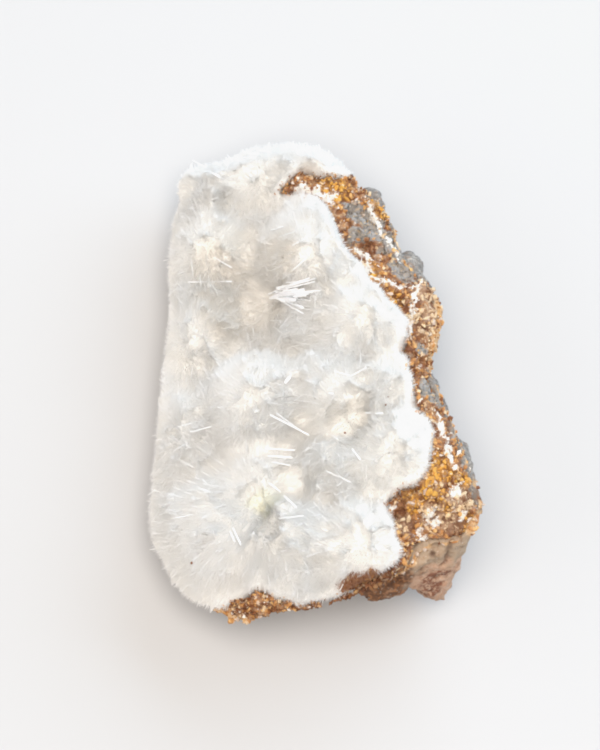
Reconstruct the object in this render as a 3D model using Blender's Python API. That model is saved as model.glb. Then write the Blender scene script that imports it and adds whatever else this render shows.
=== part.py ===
"""A hand specimen of mesolite: white radiating needle crystals on a lump of vesicular basalt.

Three pieces grew on each other and are modelled as three solids:
basalt_matrix         the broken lump of grey rock, with a flat spot under it that it rests on
iron_stained_crust    the rusty, knobbly crust that lined the cavity and shows along the broken rim
mesolite_crystals     the mass of needle sprays, one mound for each point where a spray began

The cavity wall is one sloping plane. The crust and the crystals stand on it, side by side.
Lengths in this file are millimetres until MM turns them into metres. +Z is up.
"""

import math

import bmesh
import bpy
from mathutils import Vector, noise
from mathutils.bvhtree import BVHTree
from mathutils.geometry import delaunay_2d_cdt, intersect_point_line

MM = 0.001

# The specimen's place: the outlines below are drawn about their own centre, and this moves
# the middle of the finished piece's plan onto the origin.
PLAN_CENTRE = (1.97, 0.82)

# The cavity wall, a plane that rises to the right
WALL_SLOPE_DEG = 18.0
WALL_HEIGHT_AT_CENTRE = 17.5

# Gap between pieces that touch
JOINT_GAP = 0.3

# Basalt
ROCK_CENTRE = (1.0, 0.0)
ROCK_SEGMENT = 2.5
ROCK_BLOCK = 1.9
ROCK_BLOCK_SIZE = 6.5
ROCK_GRAIN = 0.9
ROCK_GRAIN_SIZE = 3.0
# How far the front is undercut between the rim and the flat that the rock rests on
UNDERCUT = 6.5
# The rock's side, from its rim down to that flat: the share of the rim's height, and the
# share of the rim's distance from the centre
ROCK_PROFILE = [
    (1.00, 1.000),
    (0.93, 0.995),
    (0.84, 0.985),
    (0.74, 0.970),
    (0.63, 0.965),
    (0.52, 0.945),
    (0.42, 0.925),
    (0.32, 0.895),
    (0.22, 0.840),
    (0.13, 0.770),
    (0.06, 0.700),
    (0.00, 0.620),
]
# The rock's rim on the cavity wall, anticlockwise from the right
ROCK_RIM = [
    (24.0, 3.0), (24.9, 8.0), (24.3, 12.5), (21.7, 17.0), (18.2, 21.0), (17.3, 26.0),
    (15.3, 31.0), (12.0, 35.0), (8.9, 37.4), (6.8, 41.0), (3.2, 43.2), (-2.0, 44.4),
    (-9.0, 44.6), (-14.5, 42.8), (-19.5, 42.2), (-21.4, 38.5), (-22.0, 30.0), (-23.0, 20.0),
    (-23.5, 8.0), (-24.4, -5.0), (-25.4, -18.0), (-25.8, -26.0), (-23.2, -33.0),
    (-19.2, -38.5), (-14.2, -43.0), (-10.8, -45.2), (-8.0, -44.2), (-4.5, -42.4), (0.0, -41.6),
    (4.0, -41.0), (8.6, -40.6), (12.8, -40.2), (16.6, -38.9), (19.4, -36.8), (21.0, -34.4), (24.0, -33.8),
    (27.4, -33.8), (30.0, -31.4), (31.0, -27.0), (30.0, -22.0), (28.0, -15.5), (25.8, -9.5), (23.4, -3.0),
]
# The foot, a buttress of bare basalt under the lower right corner: corners of a blunt wedge
FOOT = [
    (16.6, -38.2, 20.8), (20.8, -34.6, 23.6), (24.6, -34.0, 24.9), (27.6, -33.8, 25.6),
    (29.8, -31.4, 26.2), (30.4, -26.0, 25.4), (18.4, -37.2, 13.6), (28.2, -35.0, 15.2),
    (29.6, -27.0, 15.0), (23.0, -38.6, 5.8), (25.6, -38.2, 4.8), (24.4, -39.3, 7.4),
    (22.0, -36.6, 3.4), (25.4, -36.0, 3.2), (18.5, -28.0, 7.5), (27.2, -27.0, 8.0),
    (12.0, -31.0, 18.0), (14.0, -27.0, 12.0), (20.0, -24.0, 21.0),
]
FOOT_ROUGHNESS = 1.3
# Knobs of basalt that stand out of the broken side: centre, radius, and three stretches
KNOBS = [
    ((12.6, 32.4, 18.0), 3.4, (1.00, 1.30, 0.90)),
    ((19.4, 18.8, 19.6), 3.4, (1.00, 1.30, 1.00)),
    ((22.6, 10.6, 20.8), 3.2, (0.90, 1.30, 0.90)),
    ((23.6, -7.4, 20.8), 3.0, (0.90, 1.20, 1.00)),
    ((27.6, -19.0, 21.0), 3.6, (0.85, 1.50, 1.10)),
    ((14.0, -38.6, 16.0), 3.2, (1.50, 0.80, 0.90)),
    ((-20.6, -18.0, 4.6), 5.0, (0.90, 1.60, 0.60)),
    ((-6.0, 39.6, 9.4), 5.2, (1.70, 0.80, 0.70)),
]
# Vesicles, the gas bubbles that the rock froze round, on its broken side: angle about the
# centre in degrees, height, and radius
VESICLES = [
    (-60, 19.5, 0.8), (-57, 13.5, 1.1), (-54, 17.5, 1.2), (-51, 11.0, 0.9), (-47, 20.5, 0.8),
    (-44, 14.5, 1.3), (-33, 15.0, 1.4), (-22, 10.5, 1.1), (-8, 15.5, 1.3), (4, 11.5, 1.6),
    (16, 17.0, 1.0), (27, 12.5, 1.5), (45, 11.0, 1.2), (58, 12.0, 1.3), (64, 8.5, 1.0),
    (84, 9.5, 1.5), (116, 6.0, 1.1), (131, 7.5, 1.2), (166, 5.5, 1.0), (199, 5.5, 1.1),
    (232, 6.5, 1.2), (252, 8.0, 1.5), (263, 11.0, 1.1), (274, 7.0, 1.3), (286, 11.5, 1.5),
    (293, 15.5, 0.9),
]
VESICLE_DEPTH_SHARE = 0.75

# Iron-stained crust
CRUST_SEGMENT = 1.15
CRUST_INNER_HEIGHT = 5.4
CRUST_OUTER_HEIGHT = 1.4
CRUST_LUMP = 2.7
CRUST_LUMP_SIZE = 3.0
CRUST_LEAST = 0.7
# Where the front edge wears it thin: centre and reach
THIN_CRUST = (5.5, -43.5, 9.5)
RAGGED_EDGE = 0.55
RAGGED_EDGE_SIZE = 1.9
# The line where the white crystals meet the crust, from the tip of the crust's hook at the
# top, down the right side and along the bottom to the tip of the last clump
SEAM = [
    (-3.4, 34.4), (-0.6, 34.2), (1.9, 32.4), (4.4, 30.2), (5.6, 27.0), (7.2, 23.4),
    (9.0, 20.4), (11.4, 17.6), (12.8, 14.3), (14.9, 11.4), (17.0, 9.4), (18.6, 6.7),
    (19.0, 3.6), (18.5, 0.5), (19.1, -2.4), (19.9, -6.2), (20.6, -9.1), (21.6, -11.9),
    (23.0, -14.5), (22.7, -17.5), (22.1, -20.4), (20.9, -23.6), (17.6, -25.0),
    (15.0, -26.6), (14.9, -28.6), (16.1, -31.0), (16.5, -33.7), (17.4, -35.6),
    (16.4, -37.6), (14.3, -39.2), (11.5, -40.2), (8.5, -41.4), (4.3, -42.4), (0.0, -43.0),
    (-4.0, -42.0), (-6.6, -40.3), (-9.4, -41.2), (-12.6, -42.4),
]
# The crust's outer edge, just inside the rock's rim, from that clump back to the hook
CRUST_OUTSIDE = [
    (-11.4, -43.6), (-8.0, -44.6), (-4.0, -43.8), (0.0, -43.5), (4.3, -43.0), (8.6, -42.1),
    (12.8, -40.7), (16.4, -38.9), (19.0, -36.4), (20.6, -33.8), (24.0, -33.1),
    (27.3, -33.1), (29.4, -30.8), (30.4, -27.0), (29.4, -22.0), (27.3, -15.5), (25.1, -9.5), (22.7, -3.0), (23.4, 3.0),
    (24.3, 8.0),
    (23.7, 12.4), (21.2, 16.7), (17.7, 20.7), (16.8, 26.0), (14.8, 30.8), (11.5, 34.6),
]
# The upper side of the hook, where crystals meet the crust again
HOOK = [
    (9.4, 37.4), (6.4, 36.9), (3.8, 37.2), (1.6, 38.5), (-0.8, 37.7), (-3.2, 35.7),
]
HOOK_TIP = (-4.2, 34.9)

# Mesolite
CRYSTAL_SEGMENT = 1.62
CRYSTAL_FLOOR = 2.6
# The free edge, where the crystals hang over the rock, from the last clump round the left
# side to the top
FREE_EDGE = [
    (-15.4, -42.5), (-19.0, -41.1), (-21.6, -38.6), (-24.3, -34.3), (-26.6, -29.7),
    (-27.6, -24.9), (-27.2, -17.5), (-26.6, -10.0), (-26.1, -2.3), (-25.7, 5.4),
    (-24.9, 11.2), (-24.6, 17.1), (-25.1, 23.2), (-24.6, 29.1), (-23.9, 34.1),
    (-22.9, 37.6), (-23.2, 40.6), (-22.2, 43.2), (-19.4, 44.6), (-15.4, 44.2),
    (-12.1, 45.4), (-9.0, 46.6), (-4.5, 46.7), (0.2, 45.9), (4.7, 44.2), (7.6, 41.4),
    (9.2, 38.8),
]
FREE_EDGE_HEIGHT = 1.1
FREE_EDGE_RISE = 3.4
FREE_EDGE_ROUND = 3.6
# Mounds of needle sprays: x, y, height of the crown over the cavity wall, radius
MOUNDS = [
    (2.6, 23.0, 10.8, 11.0),
    (0.4, 40.2, 7.2, 7.6),
    (-10.0, 40.6, 6.4, 6.8),
    (-18.6, 38.8, 7.4, 6.6),
    (-18.4, 27.0, 6.2, 8.6),
    (-18.6, 12.0, 6.4, 8.4),
    (0.6, 10.4, 6.8, 7.0),
    (12.0, 8.6, 9.8, 9.2),
    (-8.8, -5.2, 10.4, 10.0),
    (4.6, -3.2, 9.2, 8.0),
    (15.0, -5.0, 8.6, 6.6),
    (-20.6, -10.0, 7.0, 8.8),
    (16.6, -17.6, 9.4, 9.0),
    (6.4, -19.6, 7.8, 7.4),
    (-2.0, -33.6, 10.0, 10.2),
    (10.6, -33.0, 9.6, 8.8),
    (-17.4, -29.0, 8.4, 11.0),
    (-9.0, -18.6, 6.6, 6.4),
]
# How softly one mound runs into the next
MOUND_BLEND = 0.5
# A spray's needles run out from a point this far under the cavity wall
SPRAY_ROOT_DEPTH = 3.5
# The ridges that run down each mound, between its sprays
RIDGE = 1.3
RIDGE_COUNT = 13
# Tufts, where a bundle of needles stands out of the rest
TUFT_LEAST = 0.7
TUFT_MOST = 2.7
TUFT_PART = 0.42
LEAST_DOME = 0.35
SEED = 11


def clear_scene():
    for obj in list(bpy.data.objects):
        bpy.data.objects.remove(obj)


def finish(name, colour, roughness):
    """A plain finish for one piece."""
    mat = bpy.data.materials.new(name)
    mat.use_nodes = True
    shader = mat.node_tree.nodes["Principled BSDF"]
    shader.inputs["Base Color"].default_value = (*colour, 1.0)
    shader.inputs["Roughness"].default_value = roughness
    shader.inputs["Metallic"].default_value = 0.0
    return mat


def wall_height(x):
    """Height of the cavity wall over the table."""
    return WALL_HEIGHT_AT_CENTRE + math.tan(math.radians(WALL_SLOPE_DEG)) * x


def smooth_line(points, spacing, closed):
    """A Catmull-Rom curve through the points, with its own points a spacing apart."""
    knots = [Vector(p) for p in points]
    count = len(knots)
    steps = 12
    dense = []
    for i in range(count if closed else count - 1):
        if closed:
            p0, p1, p2, p3 = (knots[(i + k) % count] for k in (-1, 0, 1, 2))
        else:
            p0, p1, p2, p3 = (knots[min(max(i + k, 0), count - 1)] for k in (-1, 0, 1, 2))
        for s in range(steps):
            t = s / steps
            dense.append(
                0.5
                * (
                    2 * p1
                    + (p2 - p0) * t
                    + (2 * p0 - 5 * p1 + 4 * p2 - p3) * t**2
                    + (3 * p1 - p0 - 3 * p2 + p3) * t**3
                )
            )
    dense.append(knots[0].copy() if closed else knots[-1].copy())
    lengths = [0.0]
    for a, b in zip(dense, dense[1:]):
        lengths.append(lengths[-1] + (b - a).length)
    parts = max(3, round(lengths[-1] / spacing))
    made = []
    k = 0
    for i in range(parts if closed else parts + 1):
        want = lengths[-1] * i / parts
        while k < len(dense) - 2 and lengths[k + 1] < want:
            k += 1
        share = (want - lengths[k]) / max(lengths[k + 1] - lengths[k], 1e-9)
        made.append(dense[k].lerp(dense[k + 1], min(share, 1.0)))
    return made


def sideways(line, i):
    """Unit vector to the left of a line at its point i."""
    before = line[max(i - 1, 0)]
    after = line[min(i + 1, len(line) - 1)]
    along = (after - before).normalized()
    return Vector((-along.y, along.x))


def ragged(line):
    """The line with small random bays, but with its two ends kept."""
    made = [line[0].copy()]
    for i in range(1, len(line) - 1):
        sample = Vector((*line[i], 0)) / RAGGED_EDGE_SIZE
        made.append(line[i] + sideways(line, i) * (RAGGED_EDGE * noise.noise(sample)))
    made.append(line[-1].copy())
    return made


def shifted(line, distance):
    """The line moved to its left by a distance."""
    return [p + sideways(line, i) * distance for i, p in enumerate(line)]


def inside(point, outline):
    """True if a point lies in a closed outline."""
    found = False
    for a, b in zip(outline, outline[1:] + outline[:1]):
        if (a.y > point.y) != (b.y > point.y):
            if point.x < (b.x - a.x) * (point.y - a.y) / (b.y - a.y) + a.x:
                found = not found
    return found


def distance_to(point, line, closed=False):
    """Shortest distance from a point to a line."""
    ends = line[1:] + line[:1] if closed else line[1:]
    least = math.inf
    for a, b in zip(line, ends):
        nearest, share = intersect_point_line(point, a, b)
        if share <= 0:
            nearest = a.to_3d()
        elif share >= 1:
            nearest = b.to_3d()
        least = min(least, (nearest.to_2d() - point).length)
    return least


def filled_points(outline, spacing):
    """Points inside an outline on a slightly disturbed triangular grid."""
    low_x, high_x = min(p.x for p in outline), max(p.x for p in outline)
    low_y, high_y = min(p.y for p in outline), max(p.y for p in outline)
    row_height = spacing * math.sqrt(3) / 2
    disturbance = 0.22 * spacing
    clear_of_edge = 0.55 * spacing
    points = []
    row = 0
    y = low_y
    while y < high_y:
        x = low_x + (row % 2) * spacing / 2
        while x < high_x:
            sample = Vector((x, y, 0))
            p = Vector((x, y)) + disturbance * noise.noise_vector(sample).to_2d()
            if inside(p, outline) and distance_to(p, outline, True) > clear_of_edge:
                points.append(p)
            x += spacing
        y += row_height
        row += 1
    return points


def slab(name, outline, spacing, top_of, mat):
    """A solid on the cavity wall with the outline as its plan.

    top_of(point, on_edge) gives each top point in three dimensions."""
    edge = len(outline)
    loop = [list(range(edge))]
    under_faces = delaunay_2d_cdt(outline, [], loop, 1, 1e-5)[2]
    plan, _, faces, *_ = delaunay_2d_cdt(
        outline + filled_points(outline, spacing), [], loop, 1, 1e-5
    )
    top = [top_of(p, i < edge) for i, p in enumerate(plan)]
    under = [Vector((p.x, p.y, wall_height(p.x) + JOINT_GAP)) for p in plan[:edge]]
    mesh = bmesh.new()
    high = [mesh.verts.new(p * MM) for p in top]
    low = [mesh.verts.new(p * MM) for p in under]
    for face in faces:
        mesh.faces.new([high[i] for i in face])
    for i in range(edge):
        k = (i + 1) % edge
        mesh.faces.new([high[i], low[i], low[k], high[k]])
    for face in under_faces:
        mesh.faces.new([low[i] for i in reversed(face)])
    bmesh.ops.triangulate(mesh, faces=mesh.faces[:])
    bmesh.ops.recalc_face_normals(mesh, faces=mesh.faces[:])
    return placed(name, mesh, mat)


def placed(name, mesh, mat):
    """An object made from a bmesh, under the empty that centres the plan."""
    data = bpy.data.meshes.new(name)
    mesh.to_mesh(data)
    mesh.free()
    data.materials.append(mat)
    obj = bpy.data.objects.new(name, data)
    bpy.context.scene.collection.objects.link(obj)
    obj.parent = bpy.data.objects["specimen"]
    return obj


def helper(name, mesh, mat):
    """A body that only cuts or joins, and isn't a piece itself."""
    obj = placed(name, mesh, mat)
    obj.hide_render = True
    obj.display_type = "WIRE"
    return obj


def boolean(obj, other, operation):
    modifier = obj.modifiers.new(f"{operation.lower()} {other.name}", "BOOLEAN")
    modifier.operation = operation
    modifier.object = other


def broken(point, outward):
    """A rock point moved in or out, as blocks break away and leave ledges."""
    _, cells = noise.voronoi(point / ROCK_BLOCK_SIZE)
    block = noise.noise(cells[0] * 5.3)
    grain = noise.fractal(point / ROCK_GRAIN_SIZE, 0.9, 2.1, 3)
    return point + outward * (2 * ROCK_BLOCK * block + ROCK_GRAIN * grain)


def under_wall(point):
    """The point, lowered if need be to lie just under the cavity wall."""
    least_cover = 0.2
    point.z = min(point.z, wall_height(point.x) - least_cover)
    return point


def rock_point(rim_point, height_share, reach_share):
    """A point on the rock's side before it is roughened."""
    centre = Vector(ROCK_CENTRE)
    plan = centre + (rim_point - centre) * reach_share
    plan.y += UNDERCUT * (1 - height_share)
    return Vector((plan.x, plan.y, wall_height(rim_point.x) * height_share))


def basalt(mat):
    """The rock: a flat top on the cavity wall, broken sides, and a flat spot below."""
    rim = smooth_line(ROCK_RIM, ROCK_SEGMENT, True)
    mesh = bmesh.new()
    rings = []
    last = len(ROCK_PROFILE) - 1
    for k, (height_share, reach_share) in enumerate(ROCK_PROFILE):
        ring = []
        for p in rim:
            point = rock_point(p, height_share, reach_share)
            if 0 < k < last:
                away = (p - Vector(ROCK_CENTRE)).normalized()
                point = broken(point, Vector((away.x, away.y, 0)))
            ring.append(mesh.verts.new(point * MM))
        rings.append(ring)
    count = len(rim)
    for upper, lower in zip(rings, rings[1:]):
        for i in range(count):
            k = (i + 1) % count
            mesh.faces.new([upper[i], lower[i], lower[k], upper[k]])
    mesh.faces.new(rings[0])
    mesh.faces.new(rings[-1])
    bmesh.ops.triangulate(mesh, faces=mesh.faces[:])
    bmesh.ops.recalc_face_normals(mesh, faces=mesh.faces[:])
    rock = placed("basalt_matrix", mesh, mat)
    boolean(rock, foot(mat), "UNION")
    for number, (centre, radius, stretch) in enumerate(KNOBS, 1):
        boolean(rock, knob(f"knob_{number}", centre, radius, stretch, mat), "UNION")
    boolean(rock, vesicles(rock, mat), "DIFFERENCE")
    return rock


def foot(mat):
    """The buttress at the lower right corner: the hull of its corners, roughened."""
    mesh = bmesh.new()
    for corner in FOOT:
        mesh.verts.new(Vector(corner) * MM)
    hull = bmesh.ops.convex_hull(mesh, input=mesh.verts)
    loose = set(hull["geom_interior"] + hull["geom_unused"])
    bmesh.ops.delete(mesh, geom=list(loose), context="VERTS")
    bmesh.ops.subdivide_edges(mesh, edges=mesh.edges[:], cuts=2, use_grid_fill=True)
    bmesh.ops.triangulate(mesh, faces=mesh.faces[:])
    bmesh.ops.recalc_face_normals(mesh, faces=mesh.faces[:])
    mesh.normal_update()
    for v in mesh.verts:
        point = v.co / MM
        point += v.normal * (FOOT_ROUGHNESS * noise.noise(point / ROCK_GRAIN_SIZE))
        v.co = under_wall(point) * MM
    return helper("foot_spur", mesh, mat)


def knob(name, centre, radius, stretch, mat):
    """A rounded, uneven lump of rock that stays under the cavity wall."""
    mesh = bmesh.new()
    bmesh.ops.create_icosphere(mesh, subdivisions=2, radius=1.0)
    unevenness = 0.28
    for v in mesh.verts:
        swell = 1 + unevenness * noise.noise(v.co * 1.7 + Vector(centre))
        shape = Vector((v.co.x * stretch[0], v.co.y * stretch[1], v.co.z * stretch[2]))
        v.co = under_wall(Vector(centre) + shape * (radius * swell)) * MM
    return helper(name, mesh, mat)


def vesicles(rock, mat):
    """Small round hollows, each open on the broken side of the rock."""
    side = BVHTree.FromObject(rock, bpy.context.evaluated_depsgraph_get())
    far = 100.0
    mesh = bmesh.new()
    for degrees, height, radius in VESICLES:
        out = Vector((math.cos(math.radians(degrees)), math.sin(math.radians(degrees)), 0))
        start = Vector((*ROCK_CENTRE, height)) + out * far
        place, normal, _, _ = side.ray_cast(start * MM, -out)
        centre = place + normal * (radius * (1 - VESICLE_DEPTH_SHARE) * MM)
        made = bmesh.ops.create_icosphere(mesh, subdivisions=1, radius=radius * MM)
        bmesh.ops.translate(mesh, verts=made["verts"], vec=centre)
    return helper("vesicle_cutter", mesh, mat)


def crust_top(inner, outer):
    """The crust's height: high beside the crystals, low at the rim, with lumps."""

    def top(p, _on_edge):
        to_crystals, to_rim = distance_to(p, inner), distance_to(p, outer)
        share = to_rim / max(to_crystals + to_rim, 1e-6)
        height = CRUST_OUTER_HEIGHT + (CRUST_INNER_HEIGHT - CRUST_OUTER_HEIGHT) * share**0.8
        sample = Vector((p.x, p.y, 0)) / CRUST_LUMP_SIZE
        cells, _ = noise.voronoi(sample)
        height += CRUST_LUMP * (0.55 - 1.3 * cells[0]) + 0.9 * noise.noise(sample * 2.3)
        height *= min((p - Vector(THIN_CRUST[:2])).length / THIN_CRUST[2], 1.0)
        return Vector((p.x, p.y, wall_height(p.x) + max(height, CRUST_LEAST)))

    return top


def mounds_at(p):
    """(height over the cavity wall, the nearest mound, the share of its dome) at a point."""
    total = math.exp(CRYSTAL_FLOOR / MOUND_BLEND)
    nearest, best = MOUNDS[0], -math.inf
    for mound in MOUNDS:
        centre_x, centre_y, crown, radius = mound
        inside_share = 1 - ((p.x - centre_x) ** 2 + (p.y - centre_y) ** 2) / radius**2
        if inside_share > 0:
            dome = math.sqrt(inside_share)
            total += math.exp((CRYSTAL_FLOOR + (crown - CRYSTAL_FLOOR) * dome) / MOUND_BLEND)
        if inside_share > best:
            nearest, best = mound, inside_share
    return MOUND_BLEND * math.log(total), nearest, math.sqrt(max(best, 0.0))


def ridge_at(p, mound):
    """The height of the ridges that run out from a mound's centre."""
    away = p - Vector(mound[:2])
    reach = away.length
    if reach < 1e-6:
        return 0.0
    turn = away / reach * (RIDGE_COUNT / (2 * math.pi))
    fade = min(reach / (0.5 * mound[3]), 1.0)
    return RIDGE * fade * noise.noise(Vector((turn.x, turn.y, reach / 9 + mound[0])))


def crystal_top(free_edge, outline):
    """The crystals' height: mounds, rounded off at the free edge, with tufts of needles."""
    tufts = tuft_points(outline)

    def top(p, on_edge):
        height, mound, dome = mounds_at(p)
        height = max(height + ridge_at(p, mound), FREE_EDGE_HEIGHT)
        off_edge = distance_to(p, free_edge) / FREE_EDGE_ROUND
        if off_edge < 1.0:
            height = min(height, FREE_EDGE_HEIGHT + FREE_EDGE_RISE * math.sqrt(off_edge))
        point = Vector((p.x, p.y, wall_height(p.x) + height))
        if on_edge or dome < LEAST_DOME or (round(p.x, 3), round(p.y, 3)) not in tufts:
            return point
        root = Vector((mound[0], mound[1], wall_height(mound[0]) - SPRAY_ROOT_DEPTH))
        length = TUFT_LEAST + (TUFT_MOST - TUFT_LEAST) * dome * noise.random()
        length = min(length, 0.8 * distance_to(p, outline, True))
        return point + (point - root).normalized() * length

    return top


def tuft_points(outline):
    """Grid points that carry a tuft, no two of them close together."""
    noise.seed_set(SEED)
    chosen = []
    clearance = 1.5 * CRYSTAL_SEGMENT
    for p in filled_points(outline, CRYSTAL_SEGMENT):
        if noise.random() < TUFT_PART:
            if all((p - q).length > clearance for q in chosen[-90:]):
                chosen.append(p)
    return {(round(p.x, 3), round(p.y, 3)) for p in chosen}


def main():
    clear_scene()
    specimen = bpy.data.objects.new("specimen", None)
    bpy.context.scene.collection.objects.link(specimen)
    specimen.location = (-PLAN_CENTRE[0] * MM, -PLAN_CENTRE[1] * MM, 0)

    basalt(finish("basalt", (0.27, 0.24, 0.22), 0.85))

    seam = ragged(smooth_line(SEAM, CRUST_SEGMENT, False))
    hook = smooth_line(HOOK, CRUST_SEGMENT, False)
    half_gap = JOINT_GAP / 2

    outside = ragged(smooth_line(CRUST_OUTSIDE, CRUST_SEGMENT, False))
    crust_side = shifted(seam, half_gap)
    slab(
        "iron_stained_crust",
        crust_side + outside + shifted(hook, half_gap),
        CRUST_SEGMENT,
        crust_top(crust_side, outside),
        finish("rusty crust", (0.46, 0.25, 0.10), 0.80),
    )

    free_edge = smooth_line(FREE_EDGE, CRYSTAL_SEGMENT, False)
    crystal_outline = shifted(seam, -half_gap) + free_edge + shifted(hook, -half_gap)
    crystal_outline.append(Vector(HOOK_TIP))
    slab(
        "mesolite_crystals",
        crystal_outline,
        CRYSTAL_SEGMENT,
        crystal_top(free_edge, crystal_outline),
        finish("mesolite", (0.90, 0.89, 0.86), 0.45),
    )


main()
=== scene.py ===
# %% [markdown]
# # A hand specimen of mesolite
# Mesolite is a zeolite that grows as white needles, thinner than a pin, in the gas cavities of
# old lava. This specimen is a broken piece of such a cavity: a lump of basalt, the rusty crust
# that lined the cavity, and a thick mass of needles that stand on it in sprays. The packed
# model gives the form of the three pieces. This script gives them their surface: grains, gas
# bubbles, and some hundred thousand needles.

# %% Load the frame
import math
import random

import bmesh
import bpy
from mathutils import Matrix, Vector, noise
from mathutils.bvhtree import BVHTree


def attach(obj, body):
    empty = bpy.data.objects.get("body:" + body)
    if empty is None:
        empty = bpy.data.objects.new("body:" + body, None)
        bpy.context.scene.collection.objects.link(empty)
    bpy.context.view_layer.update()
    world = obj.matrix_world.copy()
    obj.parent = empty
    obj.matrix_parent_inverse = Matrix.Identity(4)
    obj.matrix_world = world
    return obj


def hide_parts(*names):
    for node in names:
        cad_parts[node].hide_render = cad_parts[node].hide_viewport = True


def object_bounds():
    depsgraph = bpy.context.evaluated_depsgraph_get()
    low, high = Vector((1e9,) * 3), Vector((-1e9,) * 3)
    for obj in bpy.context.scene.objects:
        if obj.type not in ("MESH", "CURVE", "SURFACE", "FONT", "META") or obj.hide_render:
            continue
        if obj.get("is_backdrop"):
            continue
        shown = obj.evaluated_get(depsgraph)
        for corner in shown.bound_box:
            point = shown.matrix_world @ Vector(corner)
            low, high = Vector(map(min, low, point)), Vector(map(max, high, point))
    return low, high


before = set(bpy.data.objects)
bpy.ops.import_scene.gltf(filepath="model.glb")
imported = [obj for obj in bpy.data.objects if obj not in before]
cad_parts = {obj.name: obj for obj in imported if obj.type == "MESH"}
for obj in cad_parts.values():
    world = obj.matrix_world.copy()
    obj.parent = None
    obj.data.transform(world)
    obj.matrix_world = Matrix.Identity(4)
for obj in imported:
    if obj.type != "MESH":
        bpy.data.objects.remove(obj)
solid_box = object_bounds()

MM = 0.001
scene = bpy.context.scene
# Vector noise would start from the clock, and the result would change from run to run
noise.seed_set(7)


def placed(name, data):
    """A new object in the scene."""
    obj = bpy.data.objects.new(name, data)
    scene.collection.objects.link(obj)
    return obj


print("the solids are", [round(s / MM, 1) for s in solid_box[1] - solid_box[0]], "mm")

# %% [markdown]
# ## Camera
# The photograph looks down on the specimen from the front, at 70 degrees over the table. A long
# lens a hand's length and a half away keeps the sides nearly parallel, as a close-up lens does.

# %% Camera
CAMERA_ELEVATION = math.radians(70)
CAMERA_DISTANCE = 450 * MM
FRAME_HEIGHT = 135 * MM
SENSOR_HEIGHT_MM = 24
LOOK_AT = Vector((-1.97, -0.82, 18.0)) * MM

view_direction = Vector((0, math.cos(CAMERA_ELEVATION), -math.sin(CAMERA_ELEVATION)))
camera_data = bpy.data.cameras.new("camera")
camera_data.sensor_fit = "VERTICAL"
camera_data.sensor_height = SENSOR_HEIGHT_MM
camera_data.lens = SENSOR_HEIGHT_MM * CAMERA_DISTANCE / FRAME_HEIGHT
camera_data.clip_start = 10 * MM
camera = placed("camera", camera_data)
camera.location = LOOK_AT - view_direction * CAMERA_DISTANCE
camera.rotation_euler = (math.pi / 2 - CAMERA_ELEVATION, 0, 0)
scene.camera = camera
print("lens", round(camera_data.lens), "mm")

# %% [markdown]
# ## Light
# A white specimen on a white table needs large soft lights. One hangs overhead, a little
# towards the camera, and gives a warm, even light. A wide one, cool as a window, stands low
# behind the specimen on the right: the table there stays bright, and a faint warm shadow falls
# to the left and to the front. A weak one on the left and the world soften that shadow.

# %% Lights
LIGHT_DISTANCE = 1.2
FILL_COLOUR = (1.0, 0.97, 0.945)
FILL_STRENGTH = 0.31


def soft_light(name, elevation, azimuth, width, depth, power, colour):
    """A flat light that faces the specimen, from a direction given in degrees."""
    up, turn = math.radians(elevation), math.radians(azimuth)
    level = math.cos(up)
    direction = Vector((level * math.cos(turn), level * math.sin(turn), math.sin(up)))
    data = bpy.data.lights.new(name, "AREA")
    data.shape = "ELLIPSE"
    data.size, data.size_y = width, depth
    data.energy = power
    data.color = colour
    light = placed(name, data)
    light.location = direction * LIGHT_DISTANCE
    light.rotation_euler = direction.to_track_quat("Z", "Y").to_euler()
    print(name, "light of", power, "watts")


soft_light("overhead", 78, 270, 1.0, 1.0, 14.8, (1.0, 0.925, 0.86))
soft_light("window", 30, 45, 2.4, 1.0, 18.0, (0.62, 0.81, 1.0))
soft_light("left_fill", 30, 190, 1.6, 0.9, 3.0, (1.0, 0.98, 0.96))

world = bpy.data.worlds.new("fill")
world.use_nodes = True
fill = world.node_tree.nodes["Background"]
fill.inputs["Color"].default_value = (*FILL_COLOUR, 1)
fill.inputs["Strength"].default_value = FILL_STRENGTH
scene.world = world

# %% [markdown]
# ## From light to picture
# The Standard view keeps white things white, but it stops at full white, and most of the
# mass is nearly there. Film and cameras bend the brightest tones instead, so that a white
# thing keeps its forms. A tone curve does the same here: a straight line up to light grey,
# then a flat shoulder. A darker exposure would keep the forms too, but it would grey the table.

# %% View
scene.view_settings.view_transform = "Standard"
scene.view_settings.look = "None"
# White needles pass light on to each other many times before it comes out
scene.cycles.diffuse_bounces = 10
# A lens draws a point a little wider than one pixel
scene.cycles.filter_width = 2.0
# Light in the scene and light in the picture, along the tone curve
SHOULDER = [
    (0.0, 0.0), (0.93, 0.93), (1.0, 0.945), (1.1, 0.955), (1.3, 0.966), (1.6, 0.98), (2.0, 0.99),
]


def bend_bright_tones(points):
    """Sets the view's tone curve, from light in the scene to light in the picture."""
    brightest = points[-1][0]
    scene.view_settings.use_curve_mapping = True
    mapping = scene.view_settings.curve_mapping
    mapping.extend = "HORIZONTAL"
    mapping.white_level = (brightest, brightest, brightest)
    curve = mapping.curves[3].points
    curve[0].location, curve[1].location = points[0], (1.0, points[-1][1])
    for light, shown_light in points[1:-1]:
        curve.new(light / brightest, shown_light)
    for point in curve:
        point.handle_type = "VECTOR"
    mapping.update()


bend_bright_tones(SHOULDER)
print("tones bend over", SHOULDER[1][0])

# %% [markdown]
# ## Table
# A sheet of white paper, larger than the picture. It is stage, so it isn't part of the object.

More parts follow.
